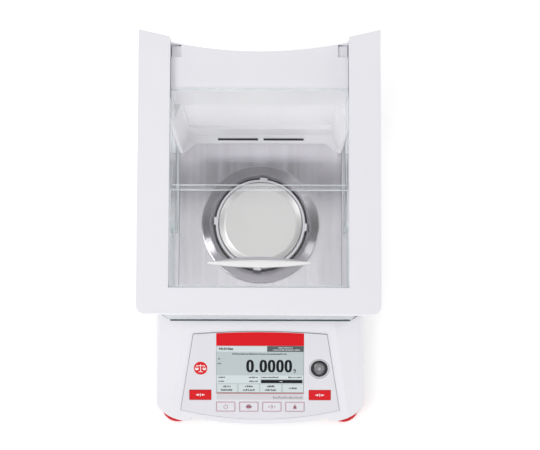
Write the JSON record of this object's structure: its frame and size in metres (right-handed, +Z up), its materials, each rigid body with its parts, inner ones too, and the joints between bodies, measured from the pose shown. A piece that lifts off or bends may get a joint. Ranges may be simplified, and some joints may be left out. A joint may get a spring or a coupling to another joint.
{
  "type": "analytical balance",
  "caption": "Analytical balance: low base with sloped display panel, round pan in a wind ring, glass draft shield with sliding side doors and a folding, sliding top door.",
  "frame": {"origin": "centre of the bounding box's bottom face, on the bench plane", "axes": "+Z up; +Y from the display towards the rear; +X to the user's right when facing the display"},
  "size_m": [0.23, 0.378, 0.341],
  "materials": {
    "white_plastic": "satin",
    "red_plastic": "semi-gloss",
    "black_plastic": "satin",
    "black_rubber": "matte",
    "brushed_steel": "linear brushed",
    "polished_steel": "semi-polished",
    "spring_steel": "satin",
    "cast_aluminium": "cast, satin",
    "magnet_iron": "machined",
    "copper_winding": "enamelled wire",
    "brass_weight": "turned",
    "circuit_board": "solder mask",
    "shield_glass": "clear float glass",
    "clear_plastic": "clear moulded plastic",
    "screen": "glossy display window"
  },
  "bodies": {
    "base": {"base_cover": "white_plastic", "base_tray": "cast_aluminium", "calibration_motor": "cast_aluminium", "cell_frame": "cast_aluminium", "display_overlay": "white_plastic", "display_window": "screen", "floor_gasket": "black_rubber", "floor_plate": "brushed_steel", "front_glass": "shield_glass", "hook_cover": "black_plastic", "key_board": "circuit_board", "lcd_module": "black_plastic", "left_track": "white_plastic", "level_ring": "black_plastic", "level_vial": "clear_plastic", "lower_guide": "spring_steel", "magnet_pot": "magnet_iron", "main_board": "circuit_board", "pan_ring": "white_plastic", "position_sensor": "black_plastic", "power_inlet": "black_plastic", "rear_column": "white_plastic", "rear_cover": "white_plastic", "rear_foot_left": "black_rubber", "rear_foot_right": "black_rubber", "rear_wall": "white_plastic", "right_track": "white_plastic", "serial_socket": "black_plastic", "shield_base": "white_plastic", "top_frame": "white_plastic", "upper_guide": "spring_steel", "usb_socket": "black_plastic", "wind_ring": "polished_steel"},
    "left_front_leaf": {"left_front_door": "shield_glass", "left_door_handle": "white_plastic"},
    "left_rear_leaf": {"left_rear_door": "shield_glass"},
    "right_front_leaf": {"right_front_door": "shield_glass", "right_door_handle": "white_plastic"},
    "right_rear_leaf": {"right_rear_door": "shield_glass"},
    "top_rear_leaf": {"top_door_rear": "shield_glass", "top_carrier": "clear_plastic"},
    "top_front_leaf": {"top_door_front": "shield_glass", "top_door_handle": "white_plastic"},
    "left_foot_pad": {"foot_pad_left": "black_rubber"},
    "left_foot_wheel": {"foot_wheel_left": "red_plastic"},
    "right_foot_pad": {"foot_pad_right": "black_rubber"},
    "right_foot_wheel": {"foot_wheel_right": "red_plastic"},
    "receiver": {"load_receiver": "cast_aluminium"},
    "lever": {"lever_beam": "cast_aluminium", "force_coil": "copper_winding"},
    "pan": {"pan_support": "cast_aluminium", "weighing_pan": "brushed_steel"},
    "calibration_lift": {"calibration_weight": "brass_weight", "calibration_cradle": "black_plastic"},
    "tare_key_left": {"tare_key_left": "red_plastic"},
    "tare_key_right": {"tare_key_right": "red_plastic"},
    "power_key": {"power_key": "white_plastic"},
    "print_key": {"print_key": "white_plastic"},
    "zero_key": {"zero_key": "white_plastic"},
    "cal_key": {"cal_key": "white_plastic"}
  },
  "joints": [
    {"name": "left_front_slide", "type": "slide", "parent": "base", "child": "left_front_leaf", "axis": [0, 1, 0], "range_m": [0, 0.15]},
    {"name": "left_rear_slide", "type": "slide", "parent": "base", "child": "left_rear_leaf", "axis": [0, 1, 0], "range_m": [0, 0.0605]},
    {"name": "left_foot_travel", "type": "slide", "parent": "base", "child": "left_foot_pad", "axis": [0, 0, -1], "range_m": [-0.00302, 0.00502]},
    {"name": "left_foot_turn", "type": "hinge", "parent": "left_foot_pad", "child": "left_foot_wheel", "pos_m": [-0.093, -0.169, 0.0073], "axis": [0, 0, 1], "range_deg": [-1440, 864]},
    {"name": "right_front_slide", "type": "slide", "parent": "base", "child": "right_front_leaf", "axis": [0, 1, 0], "range_m": [0, 0.15]},
    {"name": "right_rear_slide", "type": "slide", "parent": "base", "child": "right_rear_leaf", "axis": [0, 1, 0], "range_m": [0, 0.0605]},
    {"name": "right_foot_travel", "type": "slide", "parent": "base", "child": "right_foot_pad", "axis": [0, 0, -1], "range_m": [-0.00302, 0.00502]},
    {"name": "right_foot_turn", "type": "hinge", "parent": "right_foot_pad", "child": "right_foot_wheel", "pos_m": [0.093, -0.169, 0.0073], "axis": [0, 0, 1], "range_deg": [-1440, 864]},
    {"name": "top_slide", "type": "slide", "parent": "base", "child": "top_rear_leaf", "axis": [0, 1, 0], "range_m": [0, 0.052]},
    {"name": "top_flip", "type": "hinge", "parent": "top_rear_leaf", "child": "top_front_leaf", "pos_m": [0, 0.0382, 0.3365], "axis": [-1, 0, 0], "range_deg": [0, 170]},
    {"name": "tare_key_left_press", "type": "slide", "parent": "base", "child": "tare_key_left", "axis": [0, 0.3256, -0.9455], "range_m": [0, 0.0006], "stiffness_N_per_m": 1500},
    {"name": "tare_key_right_press", "type": "slide", "parent": "base", "child": "tare_key_right", "axis": [0, 0.3256, -0.9455], "range_m": [0, 0.0006], "stiffness_N_per_m": 1500},
    {"name": "power_key_press", "type": "slide", "parent": "base", "child": "power_key", "axis": [0, 0.3256, -0.9455], "range_m": [0, 0.0006], "stiffness_N_per_m": 1500},
    {"name": "print_key_press", "type": "slide", "parent": "base", "child": "print_key", "axis": [0, 0.3256, -0.9455], "range_m": [0, 0.0006], "stiffness_N_per_m": 1500},
    {"name": "zero_key_press", "type": "slide", "parent": "base", "child": "zero_key", "axis": [0, 0.3256, -0.9455], "range_m": [0, 0.0006], "stiffness_N_per_m": 1500},
    {"name": "cal_key_press", "type": "slide", "parent": "base", "child": "cal_key", "axis": [0, 0.3256, -0.9455], "range_m": [0, 0.0006], "stiffness_N_per_m": 1500},
    {"name": "receiver_travel", "type": "slide", "parent": "base", "child": "receiver", "axis": [0, 0, -1], "range_m": [-0.0004, 0.0004], "stiffness_N_per_m": 15000},
    {"name": "lever_pivot", "type": "hinge", "parent": "base", "child": "lever", "pos_m": [0, 0.066, 0.0485], "axis": [1, 0, 0], "range_deg": [-0.83, 0.83]},
    {"name": "pan_lift_off", "type": "slide", "parent": "receiver", "child": "pan", "axis": [0, 0, 1], "range_m": [0, 0.03]},
    {"name": "calibration_lower", "type": "slide", "parent": "base", "child": "calibration_lift", "axis": [0, 0, -1], "range_m": [0, 0.0036]}
  ],
  "couplings": [
    {"joint": "left_rear_slide", "follows": "left_front_slide", "ratio": 0.4},
    {"joint": "right_rear_slide", "follows": "right_front_slide", "ratio": 0.4},
    {"joint": "left_foot_travel", "follows": "left_foot_turn", "m_per_rad": -0.00019894},
    {"joint": "right_foot_travel", "follows": "right_foot_turn", "m_per_rad": -0.00019894},
    {"joint": "lever_pivot", "follows": "receiver_travel", "rad_per_m": 35.714}
  ]
}
